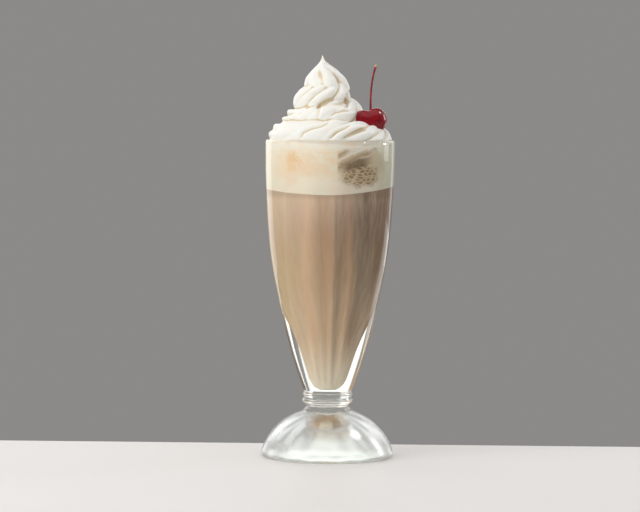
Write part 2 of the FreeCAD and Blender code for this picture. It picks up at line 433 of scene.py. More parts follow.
@dataclass(frozen=True)
class RootBeer:
    """Root beer made milky by melted ice cream: brown, paler at the bottom, pinker at the top, with painted
    light on the left, painted shade on the right and painted bands of light and shade where the flutes
    refract.
    """

    brown: str = "#e5c09b"
    pink: str = "#eacab2"
    pale: str = "#f4e8d2"
    # Painted light low on the left, painted shade on the right, and a painted lit edge
    painted_light_yellow: str = "#e9cf9c"
    shade: str = "#8b7058"
    lit: str = "#cfc2a6"
    # Place along X and brightness of the broad upright bands of painted light and shade that the flutes'
    # refraction makes in the drink
    painted_bands: tuple[Pair, ...] = (
        (-36, 0.95), (-26, 0.88), (-20, 0.82), (-14.5, 1.0), (-8.5, 0.79), (-4.5, 0.77), (0.5, 0.8),
        (2.2, 0.76), (3.8, 0.5), (6.0, 0.48), (9.0, 0.66), (12.0, 0.84), (14.5, 0.62), (18.5, 0.42),
        (22.0, 0.5), (27.0, 0.74), (36.0, 0.9))
    bands_end: float = 42.0
    # How far the bands sway, and how much closer they lie in the narrow bottom of the bowl
    sway: float = 3.5
    narrowing: float = 1.1
    # Along X for each millimetre up: how the lit edge on the right follows the bowl
    edge_slope: float = 0.32

    def banded(self, nodes: Nodes, colour: Socket, across: Socket, height: Socket) -> Socket:
        """Adds the upright bands of painted light and shade, which draw together as the bowl narrows, and
        the painted lit edge.

        Args:
            nodes: The tree.
            colour: The colour so far.
            across: X.
            height: Z.

        Returns:
            The colour with the bands.
        """
        sway = nodes.add("SUBTRACT", nodes.add("TexNoise", nodes.place, None, scale(16)), 0.5)
        sway = nodes.add("MULTIPLY", sway, self.sway)
        closer = nodes.add("MULTIPLY", nodes.where((height, 122, 50)), self.narrowing)
        closer = nodes.add("ADD", closer, 1.0)
        place = nodes.add("ADD", nodes.add("MULTIPLY", across, closer), sway)
        painted_band = nodes.ramp(place, -self.bands_end, self.bands_end, self.painted_bands)
        # The bands are softer near the top of the drink, and softest at its bottom
        softer = nodes.add("ADD", nodes.add("MULTIPLY", nodes.where((height, 145, 170)), 0.22),
                           nodes.add("MULTIPLY", nodes.where((height, 88, 50)), 0.6))
        painted_bands = {0: nodes.add("SUBTRACT", 1.0, softer), 6: colour, 7: painted_band}
        colour = nodes.add("Mix", painted_bands, out=2, data_type="RGBA", blend_type="MULTIPLY")
        # Painted reflection: the thick wall mirrors a lamp as a pale edge along the right of the narrowing
        # bowl
        edge = nodes.add("SUBTRACT", nodes.add("ADD", across, sway),
                         nodes.add("MULTIPLY", height, self.edge_slope))
        edge = nodes.where((edge, -13.0, -8.5), (height, 130, 108))
        return nodes.tint(colour, edge, 0.42, self.lit)

    def painted_streaks(self, nodes: Nodes) -> Socket:
        """Upright streaks of painted light, one or two to a flute, where the flutes' ridges catch light in
        the drink.

        The noise is read at (x, y, 0) / |(x, y, 0)| + (0, 0, 4 z), so that it hardly changes
        with the height.

        Args:
            nodes: The tree.

        Returns:
            A number from 0 to 2.
        """
        level, rise = (nodes.add("VectorMath", nodes.place, along, operation="MULTIPLY")
                       for along in ((1, 1, 0), (0, 0, 4.0)))
        column = nodes.add("VectorMath", level, operation="NORMALIZE")
        column = nodes.add("VectorMath", column, rise, operation="ADD")
        broad, fine = (nodes.add("TexNoise", column, None, fineness) for fineness in (5.0, 22.0))
        return nodes.add("ADD", nodes.where((broad, 0.42, 0.6)), nodes.where((fine, 0.35, 0.7)))

    def material(self) -> bpy.types.Material:
        """Makes the finish.

        Returns:
            The material.
        """
        nodes = Nodes("root_beer_with_melted_ice_cream")
        across, height = nodes.axis("X"), nodes.axis("Z")
        colour = nodes.tint(self.brown, nodes.where((height, 130, 168)), 1.0, self.pink)
        colour = nodes.tint(colour, nodes.where((height, 86, 46)), 1.0, self.pale)
        # Painted light: paler on the left, where the key lamp falls
        colour = nodes.tint(colour, nodes.where((across, -4, -30)), 0.5, self.pale)
        # Painted light: yellower low on the left
        painted_light_low_left = nodes.where((height, 150, 115), (across, -10, -22))
        colour = nodes.tint(colour, painted_light_low_left, 0.55, self.painted_light_yellow)
        # Painted shade: darker on the right, away from the key lamp
        right = nodes.where((across, 2, 34), (height, 45, 90))
        colour = nodes.tint(colour, right, 0.7, self.shade)
        colour = self.banded(nodes, colour, across, height)
        # Painted light: pale streaks, stronger near the top
        painted_streak_share = nodes.add("ADD", nodes.add("MULTIPLY", nodes.where((height, 140, 170)), 0.12), 0.1)
        colour = nodes.tint(colour, self.painted_streaks(nodes), painted_streak_share, self.pale)
        colour = nodes.tint(colour, nodes.where((height, 165, 169.5)), 0.3, self.shade)
        return nodes.surface({"Base Color": colour, "Roughness": 0.6, "Specular IOR Level": 0.1})


@dataclass(frozen=True)
class Foam:
    """Melting ice cream and foam: pale, stained peach by the drink, with a web of bubbles, painted shade and
    highlights on its folds, a painted shaded pocket and painted shade along the right.
    """

    pale: str = "#fefbef"
    blush: str = "#fff6e9"
    peach: str = "#fee9d1"
    orange: str = "#f9d9ac"
    white: str = "#fffbf4"
    tan: str = "#e0cdb2"
    brown: str = "#a28a6a"
    # Painted shade in the pocket, and painted shade along the right-hand edge
    dark: str = "#6f5a3e"
    shade: str = "#c8ccb8"
    # Where the drink has stained the head
    blushed: Patch = Patch((-7, -38, 190), (19, 18, 12))
    hazy: Patch = Patch((-27, -28, 188), (13, 14, 12))
    stains: tuple[tuple[Patch, float], ...] = (
        (Patch((-22.5, -31, 190), (5, 12, 8), 0.45, 7.0), 0.55),
        (Patch((-22, -31, 191.5), (3, 9, 5), 0.45, 7.0), 0.5))
    # Where it has soaked in between folds of ice cream, from here to the right, and the web
    right_from: Pair = (3.8, 5.8)
    soaked: Patch = Patch((17, -33, 188.5), (23, 26, 13), 0.2)
    web: Patch = Patch((18.8, -33, 181.5), (13.5, 17, 7.5), 0.2)
    # The folds: X and Z of a point on one, how steeply they run, and their spacing
    fold_point: Pair = (6.7, 187.5)
    fold_lean: float = math.radians(28.4)
    fold_spacing: float = 7.0
    wrinkle_spacing: float = 2.3

    def head(self, nodes: Nodes, height: Socket, mottle: Socket, speckle: Socket) -> Socket:
        """The pale head, blushed and stained, with grains and curds near its top.

        Args:
            nodes: The tree.
            height: Z.
            mottle: Coarse noise.
            speckle: Fine grains.

        Returns:
            Its colour.
        """
        colour = nodes.tint(self.pale, nodes.blotches(18, 3, 0.45, 0.75), 1.0, self.blush)
        blush = nodes.add("MULTIPLY", nodes.patch(self.blushed), nodes.where((mottle, 0.3, 0.6)))
        colour = nodes.tint(colour, blush, 0.75, self.peach)
        colour = nodes.tint(colour, nodes.patch(self.hazy), 0.5, self.peach)
        for patch, share in self.stains:
            colour = nodes.tint(colour, nodes.patch(patch), share, self.orange)
        grain = nodes.add("MULTIPLY", speckle, nodes.where((height, 180, 190)))
        colour = nodes.tint(colour, grain, 0.55, self.peach)
        curd = nodes.add("MULTIPLY", nodes.blotches(2.6, 3, 0.5, 0.68), nodes.where((height, 182, 190)))
        return nodes.tint(colour, curd, 0.6, self.white)

    def folds(self, nodes: Nodes, colour: Socket, speckle: Socket, soaked: Socket,
              rise: Socket) -> Socket:
        """Adds folds of ice cream that run up and outward: brown between them and in fine wrinkles, partly
        drink soaked in and partly painted shade, and a painted highlight on each crest.

        Args:
            nodes: The tree.
            colour: The colour so far.
            speckle: Fine grains.
            soaked: Where the drink has soaked in.
            rise: Distance across the folds.

        Returns:
            The colour with the folds.
        """
        colour = nodes.tint(colour, soaked, 0.75, self.tan)
        upper = nodes.add("MULTIPLY", soaked, nodes.where((rise, -2.5, -1.0)))
        crest = nodes.add("SUBTRACT", rise, self.fold_spacing / 2)
        crest = nodes.add("COSINE", nodes.add("MULTIPLY", crest, 2 * math.pi / self.fold_spacing))
        # Brown in the troughs between folds: drink soaked in, and painted shade
        soak_and_trough_shade = nodes.add("ADD", nodes.add("MULTIPLY", speckle, 0.35), nodes.where((crest, 0.2, -0.9)))
        colour = nodes.tint(colour, nodes.add("MULTIPLY", soak_and_trough_shade, upper), 0.4, self.brown)
        # Brown in fine wrinkles: drink soaked in, and painted shade
        wrinkle = nodes.add("COSINE", nodes.add("MULTIPLY", rise, 2 * math.pi / self.wrinkle_spacing))
        wrinkle = nodes.add("MULTIPLY", nodes.where((wrinkle, 0.2, 1.0)), upper)
        colour = nodes.tint(colour, wrinkle, 0.4, self.brown)
        # Painted highlight along each fold's crest
        return nodes.tint(colour, nodes.add("MULTIPLY", nodes.where((crest, 0.1, 0.9)), upper), 0.7,
                          self.white)

    def bubbles(self, nodes: Nodes) -> Socket:
        """Burst bubbles a few millimetres wide, flattened, with bent walls between them.

        Args:
            nodes: The tree.

        Returns:
            1 in a bubble, 0 on a wall.
        """
        bend = nodes.add("TexNoise", nodes.place, None, 260.0, out="Color")
        bend = nodes.add("VectorMath", bend, [1.6 * MM] * 3, operation="MULTIPLY")
        bent = nodes.add("VectorMath", nodes.place, bend, operation="ADD")
        flat = nodes.add("Mapping", {"Vector": bent, "Rotation": (0, -0.45, 0), "Scale": (0.72, 0.72, 1.4)})
        cells = nodes.add("TexVoronoi", flat, None, 370.0, out="Distance", feature="DISTANCE_TO_EDGE")
        return nodes.where((cells, 0.03, 0.24))

    def painted_shade_pocket(self, nodes: Nodes, across: Socket, out: Socket, up: Socket, sway: Socket) -> Socket:
        """Painted shade: the dark pocket between the folds and the web, on the front.

        Args:
            nodes: The tree.
            across: X.
            out: X from the point on the fold.
            up: Z from the point on the fold.
            sway: Noise about 0.

        Returns:
            1 in the pocket, 0 elsewhere.
        """
        lift = nodes.add("ADD", nodes.add("SUBTRACT", up, nodes.add("MULTIPLY", out, 0.3)),
                         nodes.add("MULTIPLY", sway, 6.0))
        return nodes.where((lift, -5.0, -3.2), (lift, 1.6, -0.4), (nodes.axis("Y"), -8, -18),
                           (across, 6.0, 12.0), (across, 28.0, 19.0))

    def material(self) -> bpy.types.Material:
        """Makes the finish.

        Returns:
            The material.
        """
        nodes = Nodes("ice_cream_foam")
        across, height = nodes.axis("X"), nodes.axis("Z")
        mottle = nodes.add("TexNoise", nodes.place, None, scale(6.5), 5)
        speckle = nodes.blotches(1.2, 3, 0.45, 0.7)
        colour = self.head(nodes, height, mottle, speckle)
        out, up = (nodes.add("SUBTRACT", a, b) for a, b in zip((across, height), self.fold_point))
        sway = nodes.add("SUBTRACT", nodes.add("TexNoise", nodes.place, None, scale(5), 4), 0.5)
        rise = nodes.add("ADD", nodes.add("MULTIPLY", out, -math.sin(self.fold_lean)),
                         nodes.add("MULTIPLY", up, math.cos(self.fold_lean)))
        rise = nodes.add("ADD", rise, nodes.add("MULTIPLY", sway, 5.0))
        right = nodes.where((across, *self.right_from))
        soaked = nodes.add("MULTIPLY", right, nodes.patch(self.soaked))
        colour = self.folds(nodes, colour, speckle, soaked, rise)
        bubbles, region = self.bubbles(nodes), nodes.add("MULTIPLY", nodes.patch(self.web), right)
        colour = nodes.tint(colour, region, 0.9, nodes.tint(self.tan, bubbles, 1.0, self.brown))
        # Painted shade in the pocket
        colour = nodes.tint(colour, self.painted_shade_pocket(nodes, across, out, up, sway), 0.75, self.dark)
        colour = nodes.tint(colour, nodes.blotches(0.9, 2, 0.5, 0.75), 0.1, self.tan)
        top = nodes.where((nodes.add("ADD", height, nodes.add("MULTIPLY", mottle, 9.0)), 199.5, 204))
        colour = nodes.tint(colour, top, 0.7, self.white)
        # Painted shade along the right-hand edge
        colour = nodes.tint(colour, nodes.where((across, 25, 33)), 0.4, self.shade)
        holes = nodes.add("MULTIPLY", bubbles, region)
        return nodes.surface({
            "Base Color": colour, "Roughness": 0.7, "Specular IOR Level": 0.1,
            "Normal": nodes.add("Bump", {"Height": holes, "Distance": -0.5 * MM, "Strength": 0.6}),
        })


@dataclass(frozen=True)
class WhippedCreamFinish:
    """Whipped cream: nearly white, light passes through its thin ridges, and its creases hold a painted warm
    shade.
    """

    white: str = "#fbf9f1"
    warm: str = "#fbf6ec"
    # Painted shade in the creases
    crease: str = "#dccaa4"

    def material(self) -> bpy.types.Material:
        """Makes the finish.

        Returns:
            The material.
        """
        nodes = Nodes("whipped_cream")
        colour = nodes.tint(self.white, nodes.blotches(9, 3, 0.4, 0.8), 1.0, self.warm)
        crease = nodes.add("Attribute", out="Fac", attribute_name="crease")
        # Painted shade: warm beige where the skin lies deep
        colour = nodes.tint(colour, nodes.where((crease, 0.02, 0.6)), 0.85, self.crease)
        lumps, grain = (nodes.add("TexNoise", nodes.place, None, scale(size), detail)
                        for size, detail in ((2.6, 3), (0.7, 2)))
        relief = nodes.add("ADD", lumps, nodes.add("MULTIPLY", grain, 0.3))
        return nodes.surface({
            "Base Color": colour, "Roughness": 0.42, "Specular IOR Level": 0.35,
            "Subsurface Weight": 0.35, "Subsurface Radius": (1.0, 0.85, 0.6), "Subsurface Scale": 0.0015,
            "Normal": nodes.add("Bump", {"Height": relief, "Distance": 0.25 * MM, "Strength": 0.5}),
        })


@dataclass(frozen=True)
class CreamAgainstGlass:
    """Whipped cream pressed flat against the wall: no relief, faintly blushed by the foam."""

    white: str = "#fffdf7"
    blush: str = "#fff4e6"

    def material(self) -> bpy.types.Material:
        """Makes the finish.

        Returns:
            The material.
        """
        nodes = Nodes("cream_against_glass")
        colour = nodes.tint(self.white, nodes.blotches(8, 3, 0.4, 0.7), 1.0, self.blush)
        return nodes.surface({"Base Color": colour, "Roughness": 0.7, "Specular IOR Level": 0.1})


@dataclass(frozen=True)
class CherrySkin:
    """Maraschino cherry: a deep red skin, wet with syrup."""

    red: str = "#8c0014"
    deep: str = "#5c0210"

    def material(self) -> bpy.types.Material:
        """Makes the finish.

        Returns:
            The material.
        """
        nodes = Nodes("maraschino_cherry_skin")
        colour = nodes.tint(self.red, nodes.blotches(3.5, 3, 0.4, 0.75), 0.7, self.deep)
        relief = nodes.add("TexNoise", nodes.place, None, scale(1.6), 2)
        return nodes.surface({
            "Base Color": colour, "Roughness": 0.3, "Specular IOR Level": 0.12,
            "Subsurface Weight": 0.25, "Subsurface Radius": (1.0, 0.1, 0.1), "Subsurface Scale": 0.002,
            "Coat Weight": 0.4, "Coat Roughness": 0.05,
            "Normal": nodes.add("Bump", {"Height": relief, "Distance": 0.06 * MM, "Strength": 0.5}),
        })


@dataclass(frozen=True)
class CherryStemFinish:
    """Dyed cherry stem: dark red-brown, with a dry pale cut end."""

    red: str = "#9c2a31"
    dark: str = "#6b181d"
    cut: str = "#c7a488"
    cut_height: float = 250.0

    def material(self) -> bpy.types.Material:
        """Makes the finish.

        Returns:
            The material.
        """
        nodes = Nodes("dyed_cherry_stem")
        colour = nodes.tint(self.red, nodes.blotches(2.0, 3, 0.35, 0.7), 1.0, self.dark)
        end = nodes.where((nodes.axis("Z"), self.cut_height - 0.6, self.cut_height + 0.2))
        colour = nodes.tint(colour, end, 1.0, self.cut)
        return nodes.surface({"Base Color": colour, "Roughness": 0.4, "Specular IOR Level": 0.5})


@dataclass(frozen=True)
class PaleTable:
    """A pale tabletop: plain and satin."""

    pale: str = "#f0ece9"

    def material(self) -> bpy.types.Material:
        """Makes the finish."""
        return Nodes("pale_tabletop").surface({
            "Base Color": linear(self.pale), "Roughness": 0.5, "Specular IOR Level": 0.3,
        })


# Glass and what fills it


@dataclass(frozen=True)
class SodaGlass:
    """A tall footed soda glass, smooth outside, with shallow flutes inside bowl and foot."""

    height: float = 203.0
    lip_radius: float = 1.4
    lip_middle: float = 40.0
    flutes: int = 14
    flute_turn: float = math.radians(-80.5)
    columns_per_flute: int = 18
    row: float = 1.7
    lip_row: float = 0.4
    outside: Curve = Curve((
        (41.8, 15.1), (48.0, 17.5), (68.5, 24.1), (99.2, 31.7), (129.9, 37.6), (155.0, 39.9),
        (188.0, 41.3), (201.6, 41.4)), 0.12)
    inside: Curve = Curve((
        (45.4, 3.6, 0.0), (46.4, 5.4, 0.1), (49.0, 7.0, 0.4), (58.0, 9.2, 0.8), (70.0, 11.8, 1.1),
        (81.0, 14.8, 1.2), (90.0, 17.8, 1.2), (100.0, 21.4, 1.2), (110.0, 25.2, 1.2),
        (130.0, 32.0, 1.1), (155.0, 36.7, 0.9), (180.0, 38.1, 0.5), (192.0, 38.5, 0.0),
        (201.6, 38.6, 0.0)), 0.04)
    foot_hollow: Curve = Curve((
        (0.6, 37.4, 0.0), (4.0, 35.5, 0.3), (9.0, 30.0, 0.5), (14.0, 22.5, 0.45), (18.0, 13.0, 0.2),
        (20.0, 4.0, 0.0)), 0.08)
    # Radii and heights: the middle of the hollow's top, then the foot's seat, edge and top, the
    # neck and the collar, and last the middle of the bowl's bottom
    dome: Stretch = (((0.4, 20.35), (4.0, 20.05)), 1.0)
    foot: tuple[Stretch, ...] = (
        (((37.42, 0.5), (37.6, 0.12), (38.1, 0.0)), 0.2),
        (((38.2, 0.0), (40.5, 0.0)), 0.8),
        (((40.6, 0.0), (41.95, 1.3), (42.3, 3.2)), 0.5),
        (((42.3, 3.2), (34.6, 17.3), (15.1, 29.6)), 1.7),
        (((15.1, 29.6), (14.9, 30.9), (13.9, 31.6)), 0.35),
        (((13.9, 31.6), (13.3, 32.6), (14.1, 33.6)), 0.35),
        (((14.1, 33.6), (16.3, 36.0), (15.4, 38.3)), 0.4),
        (((15.4, 38.3), (15.9, 40.0), (15.1, 41.8)), 0.4))
    bottom: Stretch = (((3.3, 45.3), (0.3, 45.0)), 0.5)
    # Heights of the middle of the hollow's top and of the bowl's bottom
    poles: Pair = (20.4, 44.98)
    # Points nearer than this are one point
    near: float = 0.05

    @property
    def columns(self) -> int:
        """Number of points round the glass."""
        return self.flutes * self.columns_per_flute

    @property
    def bearings(self) -> np.ndarray:
        """Bearings of the points round the glass."""
        return np.linspace(0, 2 * math.pi, self.columns, endpoint=False)

    def flute(self, bearing: np.ndarray) -> np.ndarray:
        """Share of the flutes' depth: (1 - cos(n (b - b0))) / 2 for n flutes, 0 at b0."""
        return 0.5 - 0.5 * np.cos(self.flutes * (bearing - self.flute_turn))

    def wall(self, bearing: np.ndarray, height: np.ndarray) -> np.ndarray:
        """Radius of the bowl's inside at bearings and heights."""
        return self.inside.at(height) - self.inside.at(height, 2) * self.flute(bearing)

    def profile(self) -> np.ndarray:
        """The line that goes round the axis.

        It runs from the top of the foot's hollow over the foot, the collar, the bowl and the
        lip, then down the inside to the bottom of the bowl.

        Returns:
            Rows of a radius, a height and the depth of the flutes there.
        """
        def read(curve: Curve, count: int) -> np.ndarray:
            """Rows of the radius, the height and the last of the values along a curve."""
            z = curve.spaced(count)
            return np.stack([curve.at(z), z, curve.at(z, len(curve.stations[0]) - 1)], axis=1)

        top = self.height - self.lip_radius
        turn = np.linspace(0, math.pi, 15)
        lip = np.stack([self.lip_middle + self.lip_radius * np.cos(turn),
                        top + self.lip_radius * np.sin(turn)], axis=1)
        drawn = [(arc_through(*points) if len(points) == 3 else np.array(points), step)
                 for points, step in (self.dome, *self.foot, self.bottom)]
        hollow, inside = read(self.foot_hollow, 300)[::-1], read(self.inside, 900)[::-1]
        # The bowl is smooth outside, so it has a radius and a height alone
        bowl = read(self.outside, 400)[:, :2]
        parts = [drawn[0], (hollow, self.row), *drawn[1:-1], (bowl, self.row), (lip, self.lip_row),
                 (inside, self.row), drawn[-1]]
        rows: list[np.ndarray] = []
        for line, step in parts:
            even = evenly(np.pad(line, ((0, 0), (0, 3 - line.shape[1]))), step)
            near = rows and np.hypot(*(rows[-1][-1, :2] - even[0, :2])) < self.near
            rows.append(even[1:] if near else even)
        return np.concatenate(rows)

    def build(self) -> bpy.types.Object:
        """Makes the glass as one closed skin.

        Point(s, b) = (R cos b, R sin b, z), where R = r(s) - d(s) (1 - cos(n (b - b0))) / 2.

        Returns:
            The piece.
        """
        radius, height, depth = (c[:, None] for c in self.profile().T)
        bearing = self.bearings[None, :]
        r = radius - depth * self.flute(bearing)
        rings = np.stack([r * np.cos(bearing), r * np.sin(bearing), height + 0 * bearing], axis=2)
        ends = [(0, 0, pole) for pole in self.poles]
        piece = closed_object("soda_glass", [(rings, *ends)], PressedGlass().material())
        return show(piece, "glass")


@dataclass(frozen=True)
class Level:
    """A surface across the glass: its height at the wall all the way round."""

    height: float
    tilt: float = 0.0
    waves: tuple[tuple[int, float, float], ...] = ()

    def at(self, bearing: np.ndarray) -> np.ndarray:
        """Height at the wall.

        Height = h + t cos b + the sum of a cos(n b + p) over the waves (n, a, p).

        Args:
            bearing: Bearings round the glass.

        Returns:
            The heights.
        """
        ripple = sum(a * np.cos(n * bearing + p) for n, a, p in self.waves)
        return self.height + self.tilt * np.cos(bearing) + ripple


@dataclass(frozen=True)
class Filling:
    """A layer of what fills the glass, pressed against its wall from one level to another."""

    name: str
    glass: SodaGlass
    low: Level
    high: Level
    slot: Slot
    node: str
    into_wall: float = 0.12
    rows: int = 90
    # Share of the height between the edge and the next ring
    edge: float = 0.002
    # The rings that close it, and the share of the radius at which they end
    closing_rows: int = 12
    closing_end: float = 0.05

    def build(self, material: bpy.types.Material) -> bpy.types.Object:
        """Makes the layer as one closed skin.

        Point(v, b) = (R cos b, R sin b, z), where z runs from the low level to the high one
        and R is the bowl's inside there, a little into the wall. Rings of less and less
        radius close it below and above.

        Args:
            material: Its finish.

        Returns:
            The piece.
        """
        bearing = self.glass.bearings[None, :]
        low, high = self.low.at(bearing), self.high.at(bearing)
        v = np.concatenate([[0], np.linspace(self.edge, 1 - self.edge, self.rows), [1]])[:, None]
        z = low + (high - low) * v
        r = self.glass.wall(bearing, z) + self.into_wall
        shrink = np.linspace(1, self.closing_end, self.closing_rows)[1:, None]
        flat_low, flat_high = low.mean(), high.mean()
        z = np.concatenate([
            (flat_low + (low - flat_low) * shrink)[::-1], z, flat_high + (high - flat_high) * shrink])
        r = np.concatenate([(r[:1] * shrink)[::-1], r, r[-1:] * shrink])
        rings = np.stack([r * np.cos(bearing), r * np.sin(bearing), z], axis=2)
        piece = closed_object(self.name, [(rings, (0, 0, flat_low), (0, 0, flat_high))], material)
        return show(piece, self.node)


# Whipped cream


@dataclass(frozen=True)
class Ridges:
    """Ridges round a piped rope: how many, how deep and how sharp."""

    count: int
    depth: float
    power: float = 0.8
    softness: float = 0.15
    unevenness: float = 0.25

    def groove(self, angle: np.ndarray) -> np.ndarray:
        """How deep the grooves are at an angle round the rope.

        Groove = d (1 - c ** p), where c is |cos(n a / 2)| with its corner rounded.

        Args:
            angle: Angles from a ridge's crest.

        Returns:
            Shares of the rope's radius.
        """
        angle = angle + self.unevenness * np.sin(angle + 0.5)
        crest = np.hypot(np.cos(self.count / 2 * angle), self.softness) - self.softness
        crest /= math.hypot(1.0, self.softness) - self.softness
        return self.depth * (1 - crest ** self.power)


@dataclass(frozen=True)
class Crease:
    """A crease along the front of the cream, deepest at the middle of its length."""

    # X and height of the points it runs through
    path: tuple[Pair, ...]
    depth: float = 1.7
    width: float = 1.1

    def depth_at(self, points: np.ndarray) -> np.ndarray:
        """How deep the crease is at points of the skin.

        Depth = D exp(-(d / w) ** 2) sin(pi s) ** 0.5, where d is the distance from the path,
        seen from the front, and s the share of its length passed there.

        Args:
            points: Points in millimetres.

        Returns:
            Depths, one to a point.
        """
        flat = points[:, (0, 2)]
        line = np.array(self.path)
        lengths = np.hypot(*np.diff(line, axis=0).T)
        passed = np.concatenate([[0], np.cumsum(lengths)])
        nearest, share = np.full(len(flat), 1e9), np.zeros(len(flat))
        for a, b, start, length in zip(line[:-1], line[1:], passed[:-1], lengths):
            t = np.clip((flat - a) @ (b - a) / length ** 2, 0, 1)
            distance = np.hypot(*(flat - a - t[:, None] * (b - a)).T)
            closer = distance < nearest
            nearest = np.where(closer, distance, nearest)
            share = np.where(closer, (start + t * length) / passed[-1], share)
        fade = np.sqrt(np.sin(math.pi * np.clip(share, 0.02, 0.98)))
        return self.depth * fade * np.exp(-((nearest / self.width) ** 2))


class Skin:
    """The points of a mesh, and means over their neighbours."""

    def __init__(self, mesh: bpy.types.Mesh) -> None:
        """Finds each point's neighbours, along the mesh's edges.

        Args:
            mesh: The mesh.
        """
        self.mesh, self.count = mesh, len(mesh.vertices)
        edges = np.empty(len(mesh.edges) * 2, np.int64)
        mesh.edges.foreach_get("vertices", edges)
        self.one, self.other = edges.reshape(-1, 2).T
        self.neighbours = np.bincount(edges, minlength=self.count)[:, None]

    def read(self, name: str) -> np.ndarray:
        """The points' places ("co") or normals, one to a row.

        Args:
            name: Which of the two.

        Returns:
            The rows.
        """
        values = np.empty(self.count * 3)
        self.mesh.vertices.foreach_get(name, values)
        return values.reshape(-1, 3)

    def spread(self, values: np.ndarray, rounds: int = 1) -> np.ndarray:
        """Takes the mean of the neighbours' values at each point.

        Args:
            values: A row to each point.
            rounds: How many times it is done.

        Returns:
            The means.
        """
        for _ in range(rounds):
            sums = [np.bincount(self.one, column[self.other], self.count)
                    + np.bincount(self.other, column[self.one], self.count) for column in values.T]
            values = np.stack(sums, axis=1) / self.neighbours
        return values


